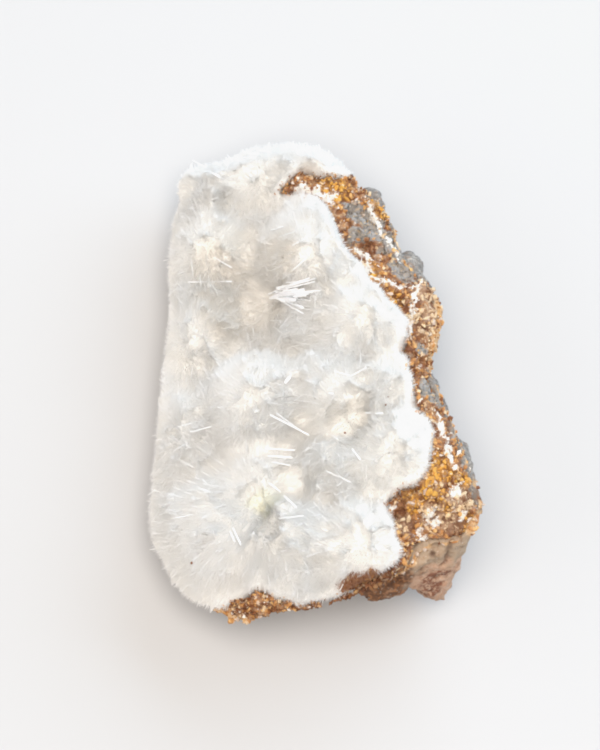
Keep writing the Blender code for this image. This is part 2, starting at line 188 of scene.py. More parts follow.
# %% Table
TABLE_REACH = 1.5
PAPER_GREY, PAPER_ROUGHNESS = 0.60, 0.9
paper = bpy.data.materials.new("white_paper")
paper.use_nodes = True
paper_shader = paper.node_tree.nodes["Principled BSDF"]
paper_shader.inputs["Base Color"].default_value = (PAPER_GREY, PAPER_GREY, PAPER_GREY, 1)
paper_shader.inputs["Roughness"].default_value = PAPER_ROUGHNESS
table_mesh = bpy.data.meshes.new("table")
corners = [(-TABLE_REACH, -TABLE_REACH), (TABLE_REACH, -TABLE_REACH),
           (TABLE_REACH, TABLE_REACH), (-TABLE_REACH, TABLE_REACH)]
table_mesh.from_pydata([(x, y, 0) for x, y in corners], [], [(0, 1, 2, 3)])
table_mesh.materials.append(paper)
table = placed("table", table_mesh)
table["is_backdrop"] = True
print("table", 2 * TABLE_REACH, "m wide")

# %% [markdown]
# ## Working copies
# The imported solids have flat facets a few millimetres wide. Grains and needles need a finer
# and more even mesh to stand on, so each solid is copied, its loose triangles are merged, and
# a voxel remesh gives it even faces. The solid itself is never changed.


# %% Helper: an even copy of a solid
def even_copy(node, name, voxel, smoothing=0):
    """A new object with the solid's form, in even faces, with no modifiers left on it."""
    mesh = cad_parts[node].data.copy()
    build = bmesh.new()
    build.from_mesh(mesh)
    bmesh.ops.remove_doubles(build, verts=build.verts, dist=0.001 * MM)
    build.to_mesh(mesh)
    build.free()
    mesh.materials.clear()
    rough = placed(name, mesh)
    remesh = rough.modifiers.new("even faces", "REMESH")
    remesh.mode = "VOXEL"
    remesh.voxel_size = voxel
    if smoothing:
        smooth = rough.modifiers.new("smooth", "SMOOTH")
        smooth.factor = 0.5
        smooth.iterations = smoothing
    return applied(rough)


def applied(obj):
    """The same object, with its modifiers turned into its mesh."""
    depsgraph = bpy.context.evaluated_depsgraph_get()
    made = bpy.data.meshes.new_from_object(obj.evaluated_get(depsgraph))
    obj.modifiers.clear()
    obj.data = made
    made.name = obj.name
    return obj


def add_values(mesh, stored):
    """Stores named numbers for each vertex, for a material or a node tree to read."""
    for name, values in stored.items():
        mesh.attributes.new(name, "FLOAT", "POINT").data.foreach_set("value", values)


def coat_smoothly(obj, finish):
    """Gives an object its material and smooth shading."""
    obj.data.materials.append(finish)
    obj.data.polygons.foreach_set("use_smooth", [True] * len(obj.data.polygons))
    print(obj.name, "wears", finish.name)


def solid_tree(node):
    """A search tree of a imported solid, to shoot rays at."""
    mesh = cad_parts[node].data
    points = [v.co for v in mesh.vertices]
    return BVHTree.FromPolygons(points, [p.vertices[:] for p in mesh.polygons])


def cell_distance(point, size):
    """Distance to the nearest point of a random scatter, in cell sizes."""
    return noise.voronoi(point / size)[0][0]


print("mesh helpers ready")

# %% [markdown]
# ## Where colours lie
# Rust, bare grey rock and white seams aren't spread evenly: each has its places. A patch is a
# centre and a radius, its edge is made uneven by noise, and the mask that comes out is stored
# on the mesh for the material to read.


# %% Helper: patches and seams
def rise(value, low, high):
    """From 0 to 1 as a value goes from low to high, with soft ends."""
    share = min(max((value - low) / (high - low), 0.0), 1.0)
    return share * share * (3 - 2 * share)


def patch_mask(point, patches, edge_noise=0.45, noise_size=2.2 * MM):
    """From 0 to 1: how far a point lies in any patch, which is x, y, z or x, y, and a radius."""
    wobble = edge_noise * noise.noise(point / noise_size)
    best = 0.0
    for *place, radius in patches:
        away = (Vector(point[: len(place)]) / MM - Vector(place)).length / radius
        best = max(best, rise(1.15 + wobble - away, 0.0, 0.3))
    return best


def seam_mask(point, lines, width, noise_size=1.3 * MM):
    """From 0 to 1: how near a point lies to any line of x, y corners, seen from above."""
    here = Vector((point.x, point.y)) / MM
    wander = noise.noise_vector(point / noise_size)
    here += Vector((wander.x, wander.y)) * 0.6
    nearest = 99.0
    for line in lines:
        for start, end in zip(line, line[1:]):
            start, end = Vector(start), Vector(end)
            along = (here - start).dot(end - start) / (end - start).length_squared
            nearest = min(nearest, (here - start.lerp(end, min(max(along, 0), 1))).length)
    width *= 1 + 0.6 * noise.noise(point / noise_size + Vector((5, 5, 5)))
    return 1 - rise(nearest, 0.6 * width, 1.1 * width)


print("a patch of radius 1 at 0.5, 1.0 and 1.5 mm:",
      [round(patch_mask(Vector((x * MM, 0, 0)), [(0, 0, 1)], 0.0), 2) for x in (0.5, 1.0, 1.5)])

# %% [markdown]
# ## Shader groups
# Two effects come back in several materials, so each is a node group: a mottle mask from
# layered noise, and fine relief for the Bump node. Image textures would be the other way, but
# they need a flattened surface, and this one is far too rough for that.


# %% Helper: nodes
def add(tree, kind, values=None, **settings):
    """A node with its settings, and on each named input a value or another node's output."""
    node = tree.nodes.new(kind)
    for setting, value in settings.items():
        setattr(node, setting, value)
    for socket, value in (values or {}).items():
        if isinstance(value, bpy.types.NodeSocket):
            tree.links.new(value, node.inputs[socket])
        else:
            node.inputs[socket].default_value = value
    return node


def maths(tree, operation, first, second):
    """The result of one Math node on two numbers or outputs."""
    return add(tree, "ShaderNodeMath", {0: first, 1: second}, operation=operation).outputs[0]


def new_group(name, inputs, output):
    """A shader group with number inputs and one number as its output, and those inputs."""
    tree = bpy.data.node_groups.new(name, "ShaderNodeTree")
    for socket, value in inputs.items():
        made = tree.interface.new_socket(socket, in_out="INPUT", socket_type="NodeSocketFloat")
        made.default_value = value
    tree.interface.new_socket(output, in_out="OUTPUT", socket_type="NodeSocketFloat")
    return tree, tree.nodes.new("NodeGroupInput").outputs


def place_group(tree, group, values):
    """The one output of a node group, put in a tree with its own values."""
    node = tree.nodes.new("ShaderNodeGroup")
    node.node_tree = group
    for socket, value in values.items():
        node.inputs[socket].default_value = value
    return node.outputs[0]


print("node helpers ready")

# %% Mottle and relief
FINE_PER_COARSE = 2.6


def mottle_group():
    """Noise sharpened into patches from 0 to 1."""
    tree, given = new_group("mottle", {"Size": 0.001, "Middle": 0.5, "Softness": 0.2}, "Mask")
    place = add(tree, "ShaderNodeTexCoord").outputs["Object"]
    texture = add(tree, "ShaderNodeTexNoise", {
        "Vector": place, "Scale": maths(tree, "DIVIDE", 1.0, given["Size"]), "Detail": 4.0,
        "Roughness": 0.6,
    })
    sharpen = add(tree, "ShaderNodeMapRange", {
        "Value": texture.outputs["Fac"],
        "From Min": maths(tree, "SUBTRACT", given["Middle"], given["Softness"]),
        "From Max": maths(tree, "ADD", given["Middle"], given["Softness"]),
    }, interpolation_type="SMOOTHSTEP")
    add(tree, "NodeGroupOutput", {"Mask": sharpen.outputs["Result"]})
    return tree


def relief_group():
    """Two sizes of grain as a height, in metres."""
    tree, given = new_group("relief", {"Grain Size": 0.0005, "Grain Height": 0.0001}, "Height")
    place = add(tree, "ShaderNodeTexCoord").outputs["Object"]
    per_size = maths(tree, "DIVIDE", 1.0, given["Grain Size"])
    coarse = add(
        tree, "ShaderNodeTexVoronoi", {"Vector": place, "Scale": per_size}, feature="SMOOTH_F1"
    )
    fine = add(tree, "ShaderNodeTexNoise", {
        "Vector": place, "Scale": maths(tree, "MULTIPLY", per_size, FINE_PER_COARSE),
        "Detail": 5.0, "Roughness": 0.7,
    })
    both = maths(tree, "SUBTRACT", fine.outputs["Fac"], coarse.outputs["Distance"])
    add(tree, "NodeGroupOutput", {"Height": maths(tree, "MULTIPLY", both, given["Grain Height"])})
    return tree


MOTTLE = mottle_group()
RELIEF = relief_group()
print("shader groups", [g.name for g in bpy.data.node_groups])


# %% Helper: layered colours
def shown(red, green, blue):
    """A colour as it shows on screen, from 0 to 255, in the linear values that shaders use."""
    linear = []
    for part in (red, green, blue):
        part /= 255
        linear.append(part / 12.92 if part <= 0.04045 else ((part + 0.055) / 1.055) ** 2.4)
    return (*linear, 1.0)


# How soft the edge of each speckle is
SPECKLE_EDGE = 0.06


class Layers:
    """Builds a material's colour as one layer of paint over another, each with its mask."""

    def __init__(self, name, roughness, base):
        self.material = bpy.data.materials.new(name)
        self.material.use_nodes = True
        self.tree = self.material.node_tree
        self.shader = self.tree.nodes["Principled BSDF"]
        self.shader.inputs["Roughness"].default_value = roughness
        self.colour = add(self.tree, "ShaderNodeRGB").outputs[0]
        self.colour.default_value = shown(*base)

    def attribute(self, name):
        """A value stored on the mesh."""
        return add(self.tree, "ShaderNodeAttribute", attribute_name=name).outputs["Fac"]

    def step(self, name, middle, softness=0.02):
        """A mask that is 1 where a stored value is over a middle."""
        return add(self.tree, "ShaderNodeMapRange", {
            "Value": self.attribute(name), "From Min": middle - softness,
            "From Max": middle + softness,
        }).outputs["Result"]

    def mottle(self, size, middle, softness):
        """A noise mask, with its size in metres."""
        values = {"Size": size, "Middle": middle, "Softness": softness}
        return place_group(self.tree, MOTTLE, values)

    def power(self, name, exponent):
        """A mask that rises with a power of a stored value."""
        return maths(self.tree, "POWER", self.attribute(name), exponent)

    def speckle(self, name, size, middle, colour, strength):
        """Paints a noise mask only where a stored value is high."""
        noisy = self.mottle(size, middle, SPECKLE_EDGE)
        self.paint(maths(self.tree, "MULTIPLY", self.attribute(name), noisy), colour, strength)

    def paint(self, mask, colour, strength=1.0):
        """Lays a colour over what is there, where a mask or the stored value of a name is high."""
        if isinstance(mask, str):
            mask = self.attribute(mask)
        self.colour = add(self.tree, "ShaderNodeMix", {
            "Factor": maths(self.tree, "MULTIPLY", mask, strength), "A": self.colour,
            "B": shown(*colour),
        }, data_type="RGBA").outputs["Result"]

    def finish(self, grain_size, grain_height):
        """Joins the colour and the relief to the shader."""
        relief = place_group(
            self.tree, RELIEF, {"Grain Size": grain_size, "Grain Height": grain_height}
        )
        bump = add(
            self.tree, "ShaderNodeBump", {"Strength": 1.0, "Distance": 1.0, "Height": relief}
        )
        self.tree.links.new(bump.outputs["Normal"], self.shader.inputs["Normal"])
        return self.smooth_finish({})

    def smooth_finish(self, values):
        """Joins the colour to the shader, and sets more of the shader's values."""
        self.tree.links.new(self.colour, self.shader.inputs["Base Color"])
        for socket, value in values.items():
            self.shader.inputs[socket].default_value = value
        return self.material


print("layers of paint ready")

# %% [markdown]
# ## Basalt
# The rock is fine-grained lava, grey where it is fresh and tan to red-brown where water has
# rusted it. Gas bubbles froze in it as round pits. A displacement in the material would be
# lost in the export, so the pits are real hollows in the mesh, and only the finest grain is
# left to a bump.

# %% Where the basalt changes
ROCK_VOXEL = 0.42 * MM
ROCK_GRAIN = 0.42 * MM
ROCK_GRAIN_SIZE = 1.7 * MM
PIT_SIZE = 2.9 * MM
PIT_DEPTH = 0.8 * MM
PIT_SHARE = 0.30
REST_HEIGHT = 0.4 * MM
# Each colour's places on the rock: x, y, z and radius in mm
GREY_ROCK = [(13.0, 31.0, 20.0, 6.0), (19.0, 18.0, 21.0, 6.5), (23.0, -7.0, 22.0, 6.0),
             (26.5, -19.0, 22.0, 7.0)]
TAN_ROCK = [(23.0, -34.5, 23.0, 5.5), (26.5, -34.5, 17.0, 5.0), (20.0, -35.5, 22.0, 4.0),
            (25.6, -36.0, 11.0, 3.0)]
PINK_ROCK = [(23.0, -38.5, 13.0, 7.5), (25.0, -36.0, 6.0, 7.0)]
RED_ROCK = [(20.8, -38.5, 13.8, 2.3), (21.4, -39.0, 11.2, 1.8), (22.8, -37.5, 17.0, 1.8),
            (21.0, -38.0, 16.2, 1.7), (21.2, -38.4, 9.2, 1.6)]
BROWN_ROCK = [(11.0, -41.0, 19.0, 6.0), (16.5, -38.5, 20.0, 3.5), (4.0, -43.0, 17.0, 7.0),
              (14.0, -40.5, 14.0, 5.0)]
# Where the crust runs over the rock's edge
RUSTY_ROCK = [(-13.0, -44.5, 15.0, 4.5), (22.9, 8.4, 21.6, 4.6), (22.0, 2.0, 24.0, 3.6),
              (28.6, -31.0, 26.5, 2.4), (17.0, -37.0, 22.6, 1.2)]
# How far rust runs down the rock's side from the crust, and how far it may lie from level
FRINGE_WIDTH, FRINGE_SIDE = 1.5 * MM, 0.75
# A bubble and a crack in the foot, by x and height
FOOT_PIT = (20.9, -35.8, 23.2, 0.6)
FOOT_CRACK = [[(24.2, 27.0), (23.9, 24.8), (23.7, 22.6), (22.9, 20.0)]]
CRACK_FRONT = -33.5 * MM
ROCK_PLACES = {
    "grey": GREY_ROCK, "tan": TAN_ROCK, "pink": PINK_ROCK, "red": RED_ROCK, "brown": BROWN_ROCK,
    "rusty": RUSTY_ROCK,
}
print("rock patches", {name: len(patches) for name, patches in ROCK_PLACES.items()})


# %% Basalt surface
FRINGE_RAGGED, FRINGE_TOOTH = 1.6, 1.9 * MM


def fringe(point, normal, crust_tree):
    """From 0 to 1: rust on the rock's side, just under the crust, with a ragged lower edge."""
    if normal.z > FRINGE_SIDE:
        return 0.0
    ragged = 1 + FRINGE_RAGGED * noise.noise(point / FRINGE_TOOTH)
    width = FRINGE_WIDTH * max(ragged, 0.2)
    return 1 - rise(crust_tree.find_nearest(point)[3], 0.5 * width, width)


def roughen_rock(obj):
    """Moves each point of the rock in or out, and stores its pits and patches."""
    mesh = obj.data
    crust_tree = solid_tree("iron_stained_crust")
    normals = [v.normal.copy() for v in mesh.vertices]
    stored = {name: [] for name in ("pit", *ROCK_PLACES)}
    for vertex, normal in zip(mesh.vertices, normals):
        point = vertex.co.copy()
        pit = max(0.0, 1 - cell_distance(point, PIT_SIZE) / PIT_SHARE)
        flat = min(max(point.z / REST_HEIGHT, 0.0), 1.0)
        pit = max(pit, patch_mask(point, [FOOT_PIT], 0.2))
        if point.y < CRACK_FRONT:
            face = Vector((point.x, point.z, 0.0))
            pit = max(pit, 0.6 * seam_mask(face, FOOT_CRACK, 0.4))
        grain = noise.fractal(point / ROCK_GRAIN_SIZE, 0.8, 2.2, 4)
        move = ROCK_GRAIN * grain - PIT_DEPTH * math.sqrt(pit)
        vertex.co = point + normal * (move * flat)
        vertex.co.z = max(vertex.co.z, 0.0)
        stored["pit"].append(pit)
        for name, patches in ROCK_PLACES.items():
            stored[name].append(patch_mask(point, patches))
        stored["rusty"][-1] = max(stored["rusty"][-1], fringe(point, normal, crust_tree))
    add_values(mesh, stored)
    mesh.update()


rock = even_copy("basalt_matrix", "basalt", ROCK_VOXEL)
roughen_rock(rock)
print("basalt", len(rock.data.polygons), "faces")

# %% [markdown]
# ## Basalt finish
# Old lava is never one colour. Its paint goes on in layers, as rust does on the real rock:
# coarse mottles first, then each patch with speckles of its own, then specks over all of it.

# %% Basalt finish
basalt = Layers("basalt", 0.86, (122, 108, 96))
basalt.paint(basalt.mottle(5 * MM, 0.50, 0.10), (150, 132, 114))
basalt.paint(basalt.mottle(2.2 * MM, 0.56, 0.06), (142, 102, 74))
basalt.paint(basalt.mottle(1.3 * MM, 0.62, 0.06), (186, 146, 106), 0.55)
basalt.paint("grey", (150, 145, 138), 0.9)
basalt.speckle("grey", 1.5 * MM, 0.50, (122, 118, 114), 0.75)
basalt.speckle("grey", 0.7 * MM, 0.56, (186, 180, 172), 0.7)
basalt.speckle("grey", 0.5 * MM, 0.58, (92, 88, 84), 0.7)
basalt.paint("brown", (106, 70, 45), 0.9)
basalt.speckle("brown", 0.9 * MM, 0.54, (184, 128, 82), 0.75)
basalt.speckle("brown", 0.6 * MM, 0.56, (72, 46, 32), 0.75)
basalt.paint("tan", (192, 170, 146), 0.85)
basalt.speckle("tan", 1.2 * MM, 0.55, (170, 140, 112), 0.6)
basalt.paint("pink", (208, 172, 146), 0.85)
basalt.speckle("pink", 1.0 * MM, 0.56, (176, 132, 106), 0.6)
basalt.speckle("red", 0.9 * MM, 0.46, (130, 80, 56), 0.95)
basalt.paint("rusty", (222, 182, 134), 0.9)
basalt.paint(basalt.mottle(1.8 * MM, 0.60, 0.06), (158, 124, 98), 0.5)
basalt.paint(basalt.mottle(0.9 * MM, 0.63, 0.05), (112, 84, 66), 0.45)
basalt.paint(basalt.mottle(0.6 * MM, 0.64, 0.05), (222, 212, 198), 0.5)
basalt.paint("pit", (84, 58, 44), 0.85)
coat_smoothly(rock, basalt.finish(0.5 * MM, 0.10 * MM))
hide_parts("basalt_matrix")
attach(rock, "root")

# %% [markdown]
# ## Iron-stained crust
# The crust is a skin of rounded grains in three sizes, golden where the iron stain is fresh
# and dark brown in the creases, with bare grey patches and thin white seams. The distance to
# the border between two random cells gives rounded grains with sharp creases between them,
# which is what such a crust looks like up close.

# %% Where the crust changes
# Places on the crust, as x, y and radius in mm seen from above
GREY_CRUST = [(10.4, 26.8, 2.0), (11.8, 24.5, 2.3), (13.9, 22.5, 2.2), (7.8, 29.3, 1.9),
              (8.5, 24.0, 1.8), (18.0, 17.9, 3.4), (19.6, 0.8, 1.1), (20.5, -6.6, 1.8),
              (22.4, -7.1, 2.6), (26.6, -14.5, 2.4), (28.6, -20.5, 2.2), (29.2, -26.0, 1.6)]
GOLD_CRUST = [(17.3, -27.2, 2.4), (20.4, -26.6, 2.6), (22.9, -28.2, 2.2), (21.9, -22.1, 2.8),
              (26.0, -24.1, 1.6), (27.1, -31.5, 1.5), (11.0, 15.0, 2.2), (14.0, 10.0, 2.0),
              (4.0, 33.5, 3.0), (13.0, 29.0, 2.4)]
PALE_CRUST = [(25.9, -27.7, 2.4), (21.4, 12.0, 2.6), (21.8, 7.3, 2.4), (21.6, 3.6, 2.0),
              (17.5, 6.0, 1.8), (20.6, -30.0, 2.0), (24.0, -31.5, 1.6), (15.5, -31.5, 1.6)]
DARK_CRUST = [(10.3, 21.1, 1.5), (17.7, -25.2, 1.3), (15.8, -25.8, 1.2), (15.2, -29.6, 1.4),
              (17.6, 0.0, 1.2), (10.9, -41.0, 4.5), (5.0, -42.0, 3.0), (18.6, -12.8, 1.2)]
WHITE_CRUST = [(-1.8, 33.2, 1.3), (0.6, 32.6, 1.5), (3.2, 31.8, 1.5),
               (20.4, -29.9, 0.95), (21.2, -31.4, 0.7), (18.7, -32.6, 0.7), (25.2, -26.4, 1.05),
               (26.1, -30.4, 0.6), (23.8, -19.0, 0.9), (13.6, -28.6, 0.7), (19.3, -33.6, 0.6),
               (16.2, 20.0, 0.9)]
WHITE_SEAMS = [
    [(10.2, 29.9), (11.5, 27.8), (13.2, 23.6), (15.4, 21.0), (16.8, 18.9)],
    [(8.0, 21.2), (9.6, 19.9), (11.1, 18.8)],
    [(9.7, 17.3), (12.0, 14.7), (14.1, 13.3), (18.6, 13.1)],
    [(19.6, 14.0), (18.0, 8.0), (17.6, 3.0)],
    [(22.6, -12.0), (23.4, -17.0), (24.6, -20.5)],
]
SEAM_WIDTH = 0.48
RING_PITS = [(7.5, 29.3, 1.25), (8.6, 23.6, 1.35), (24.4, -8.6, 0.9)]
# The places, how uneven the edge of each is, and how fine that unevenness is
CRUST_PLACES = {
    "grey": (GREY_CRUST, 0.6, 1.3 * MM), "gold": (GOLD_CRUST, 0.6, 1.6 * MM),
    "pale": (PALE_CRUST, 0.6, 1.6 * MM), "dark": (DARK_CRUST, 0.6, 1.2 * MM),
    "white": (WHITE_CRUST, 0.9, 0.8 * MM),
}
print("crust patches", {name: len(rows[0]) for name, rows in CRUST_PLACES.items()})


# %% Crust surface
CRUST_VOXEL = 0.26 * MM
# Sizes of the grains, and how far each size stands out
CRUST_GRAINS = [(3.1 * MM, 0.9 * MM), (1.3 * MM, 0.5 * MM), (0.7 * MM, 0.3 * MM)]
# The creases between grains wander by noise, and fine noise roughens the grains
WANDER_SIZE, WANDER_MM = 1.6 * MM, 0.75
ROUGH_SIZE, ROUGH_HEIGHT = 1.1 * MM, 0.45 * MM
RING_HEIGHT = 0.35 * MM
# The share of the grains' whole height that lies inside the solid
SUNK_SHARE = 0.62


def pebble(point, size):
    """From 0 in a crease between two random cells to 1 in the middle of one."""
    nearest, second = noise.voronoi(point / size)[0][:2]
    return min((second - nearest) * 1.3, 1.0) ** 0.6


def ring_height(point, rings):
    """A gas bubble cut open: a dip with a raised rim, in rim heights."""
    height = 0.0
    for x, y, radius in rings:
        away = (Vector((point.x, point.y)) / MM - Vector((x, y))).length / radius
        height += math.exp(-(((away - 0.95) / 0.22) ** 2)) - 2.2 * (1 - rise(away, 0.3, 0.8))
    return height


def roughen_crust(obj):
    """Raises grains on the crust, and stores its creases and patches."""
    mesh = obj.data
    normals = [v.normal.copy() for v in mesh.vertices]
    whole = sum(height for _, height in CRUST_GRAINS)
    stored = {name: [] for name in ("crease", *CRUST_PLACES, "grains")}
    for vertex, normal in zip(mesh.vertices, normals):
        point = vertex.co.copy()
        stray = noise.turbulence_vector(point / WANDER_SIZE, 3, False) * WANDER_MM * MM
        raised = sum(h * pebble(point + stray, size) for size, h in CRUST_GRAINS)
        raised += ROUGH_HEIGHT * noise.fractal(point / ROUGH_SIZE, 0.7, 2.1, 4)
        ring = ring_height(point, RING_PITS)
        vertex.co = point + normal * (raised - SUNK_SHARE * whole + RING_HEIGHT * ring)
        # The creases between grains, and the dips of the open bubbles, are painted darker
        stored["crease"].append(rise(1 - raised / whole - 0.12 * ring, 0.35, 0.85))
        for name, place in CRUST_PLACES.items():
            stored[name].append(patch_mask(point, *place))
        stored["white"][-1] = max(stored["white"][-1], seam_mask(point, WHITE_SEAMS, SEAM_WIDTH))
        bare = max(stored["grey"][-1], stored["white"][-1])
        stored["grains"].append(1 - 0.85 * bare if normal.z > -0.3 else 0.0)
    add_values(mesh, stored)
    mesh.update()


crust = even_copy("iron_stained_crust", "crust", CRUST_VOXEL)
roughen_crust(crust)
print("crust", len(crust.data.polygons), "faces")

# %% [markdown]
# ## Crust finish
# Iron stains go from straw yellow through gold to nearly black. The creases are painted after
# the tones, so that they stay darker than the grains, and the grey patches are rock that lost its
# stain.

# %% Crust finish
rusty = Layers("rusty_crust", 0.7, (212, 166, 112))
rusty.paint(rusty.mottle(2.2 * MM, 0.55, 0.07), (180, 122, 74))
rusty.paint(rusty.mottle(1.2 * MM, 0.54, 0.06), (236, 206, 166))
rusty.paint(rusty.mottle(1.6 * MM, 0.60, 0.05), (196, 184, 178), 0.8)
rusty.paint("gold", (242, 190, 88), 0.82)
rusty.paint("pale", (244, 226, 196), 0.85)
rusty.paint("dark", (118, 72, 42), 0.85)
rusty.paint(rusty.mottle(0.7 * MM, 0.57, 0.04), (248, 232, 208), 0.85)
rusty.paint(rusty.mottle(0.5 * MM, 0.38, 0.03), (140, 88, 50), 0.7)
rusty.paint("crease", (104, 60, 34), 0.8)
rusty.paint("grey", (162, 161, 159), 0.92)
rusty.speckle("grey", 1.4 * MM, 0.54, (140, 132, 120), 0.7)
rusty.speckle("grey", 0.8 * MM, 0.56, (96, 90, 82), 0.85)
rusty.speckle("grey", 0.5 * MM, 0.60, (206, 178, 142), 0.7)
rusty.speckle("dark", 0.7 * MM, 0.58, (190, 130, 78), 0.7)
rusty.speckle("white", 0.9 * MM, 0.42, (246, 243, 238), 1.0)
coat_smoothly(crust, rusty.finish(0.35 * MM, 0.09 * MM))
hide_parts("iron_stained_crust")
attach(crust, "root")

# %% [markdown]
# ## The body of the crystal mass
# Under their tips the needles stand so close that they make one body. It is the solid's form,
# smoothed and drawn in, and the needles stand on it. Beside the crust it isn't drawn in, but
# laid against the solid's own surface, so that no gap shows where white meets brown. Where the
# layer of crystals is thin, a ray through it finds how thin, and the body stays inside it.

# %% Crystal body
BODY_VOXEL = 0.8 * MM
BODY_INSET = 1.7 * MM
# Where the layer of crystals is thin, the body lies this share of its thickness inside
THIN_SHARE = 0.45
# How far from the crust and from the rock the drawing in starts, and where it is whole
CRUST_RANGE = (0.9 * MM, 3.0 * MM)
ROCK_RANGE = (0.3 * MM, 1.2 * MM)
# The body never touches the solid's surface, and a ray starts a little inside it
LEAST_INSET, RAY_START = 0.05 * MM, 0.01 * MM
THICK, HALF_THICK = 8 * MM, 4 * MM
body = even_copy("mesolite_crystals", "crystal_body", BODY_VOXEL, smoothing=3)
crystal_solid = solid_tree("mesolite_crystals")
rock_solids = [solid_tree("basalt_matrix"), solid_tree("iron_stained_crust")]


def smoothed(mesh, values, passes):
    """Values of a mesh's points, each mixed a few times with those of its neighbours."""
    build = bmesh.new()
    build.from_mesh(mesh)
    beside = [[e.other_vert(v).index for e in v.link_edges] for v in build.verts]
    build.free()
    for _ in range(passes):
        values = [
            value * 0.5 + sum((values[i] for i in near), value * 0) * (0.5 / len(near))
            for value, near in zip(values, beside)
        ]
    return values


def surface_over(point, normal):
    """The solid's surface that a point of the body belongs to, and the way out of it."""
    surface, outward, *_ = crystal_solid.find_nearest(point)
    if outward.dot(normal) < 0:
        # Where the solid is thin, the nearest face can be the one on the other side
        hit = crystal_solid.ray_cast(point, normal, HALF_THICK)
        if hit[0] is not None:
            surface, outward = hit[:2]
    return surface, outward


def draw_in(obj):
    """Draws the body in where it is free, and keeps it at the solid's surface by the crust."""
    mesh = obj.data
    normals = [v.normal.copy() for v in mesh.vertices]
    places, free = [], []
    for vertex, normal in zip(mesh.vertices, normals):
        surface, outward = surface_over(vertex.co, normal)
        to_rock, to_crust = (tree.find_nearest(surface)[3] for tree in rock_solids)
        share = rise(to_crust, *CRUST_RANGE) * rise(to_rock, *ROCK_RANGE)
        through = crystal_solid.ray_cast(surface - outward * RAY_START, -outward, THICK)[3]
        inset = min(BODY_INSET, THIN_SHARE * (through or THICK))
        places.append(surface - outward * (LEAST_INSET + (inset - LEAST_INSET) * share))
        free.append(share)
    for vertex, place in zip(mesh.vertices, smoothed(mesh, places, 2)):
        vertex.co = place
    mesh.update()
    return free


freedom = draw_in(body)
print("crystal body", len(body.data.polygons), "faces")

# %% [markdown]
# ## Sprays
# A spray is a bundle of needles that all started at one point, and a large one is as wide as a
# thumbnail. Its root lies some millimetres under the surface, so that over the root its
# needles stand up, and further out they lean outwards more and more, like combed fur. Each
# point of the body stores two directions: away from its own root, and away from the next one,
# because the needles of two sprays cross where they meet.

# %% Spray roots
# x and y of a root, its depth under the surface and its size against the others, in mm
SPRAYS = [
    (-0.5, 21.7, 7.5, 1.15), (-19.4, 25.4, 7.0, 1.0), (-10.3, 39.1, 7.0, 0.8),
    (-21.5, 38.2, 6.0, 0.8), (-6.5, 14.0, 4.0, 0.6), (10.0, 7.5, 7.5, 1.0),
    (-10.8, -6.0, 7.0, 0.9), (7.2, -9.2, 5.5, 1.3), (-9.4, -23.7, 5.0, 1.7),
    (-23.8, -8.1, 7.0, 1.0), (14.6, -18.6, 7.5, 0.9), (8.6, -33.8, 8.0, 0.9),
    (-22.9, 8.4, 6.5, 1.0), (2.6, 38.7, 7.0, 0.8), (14.0, -4.5, 7.0, 0.7),
]
HIGH_ABOVE = 60 * MM
LIFT, LEAST_LIFT = 0.30, 0.42
CLUMP_SIZE, CLUMP_STRAY = 1.6 * MM, 0.23
SWIRL_SIZE, SWIRL_STRAY = 6.0 * MM, 0.40
SHORTEST_REACH, LONGEST_REACH = 0.9 * MM, 6.0 * MM
EDGE_REACH = 1.1 * MM
UNDERSIDE = -0.45
RAGGED_SIZE, RAGGED_WIDTH = 1.7 * MM, 1.3 * MM
# The rays go up at heights from low to steep, each turned on from the one before, in radians
SKY_RAYS, SKY_REACH = 16, 14 * MM
SKY_TURN, SKY_LOWEST, SKY_RANGE = 2.4, 0.25, 0.6
GREEN_TINT = [(-8.1, -25.0, 2.4)]
# Painted shade: away from the crust, where the mass slopes away from the light, it is painted a
# little greyer, most of all in its valley
SIDE_SHADE_FROM, SIDE_SHADE_TO = 9.0 * MM, -8.0 * MM
SIDE_SHADE_RIM = (-28.5 * MM, -23.0 * MM)
VALLEY_SHADE = [(-12.4, 15.0, 9.0), (-14.5, 21.0, 7.0), (-6.5, 21.5, 4.0)]
# Where the side of the mass is broken off and shows brown, in mm
BROWN_SIDE = [(6.2, -42.0, 23.8, 2.0), (8.6, -41.4, 24.6, 2.5), (11.2, -40.8, 25.2, 2.5),
              (13.6, -39.6, 25.2, 2.4)]
print(len(SPRAYS), "sprays")


# %% Direction, reach and shade
def spray_roots():
    """Each root's place, found by a ray straight down onto the solid, and its size."""
    roots = []
    for x, y, depth, size in SPRAYS:
        above = Vector((x * MM, y * MM, HIGH_ABOVE))
        surface = crystal_solid.ray_cast(above, Vector((0, 0, -1)))[0]
        roots.append((surface - Vector((0, 0, depth * MM)), size))
    return roots


def leaning(point, normal, root):
    """The direction of a needle at a point: away from its root, with clumps and swirls."""
    away = (point - root).normalized() + normal * LIFT
    away += noise.noise_vector(point / CLUMP_SIZE) * CLUMP_STRAY
    away += noise.noise_vector(point / SWIRL_SIZE) * SWIRL_STRAY
    away += normal * max(LEAST_LIFT - away.dot(normal), 0.0)
    return away.normalized()


def reach_of(point, heading):
    """How far it is from a point to the solid's surface along a heading."""
    hit = crystal_solid.ray_cast(point, heading, LONGEST_REACH)
    distance = hit[3] if hit[0] is not None else SHORTEST_REACH
    return max(distance, SHORTEST_REACH)


def blocked_sky(point, outward):
    """The share of the sky that the crystals' own mounds hide from a point."""
    blocked = 0
    for number in range(SKY_RAYS):
        turn = number * SKY_TURN
        height = SKY_LOWEST + SKY_RANGE * (number + 0.5) / SKY_RAYS
        level = math.sqrt(1 - height * height)
        ray = Vector((level * math.cos(turn), level * math.sin(turn), height))
        start = point + outward * 0.5 * MM
        blocked += crystal_solid.ray_cast(start, ray, SKY_REACH)[0] is not None
    return blocked / SKY_RAYS


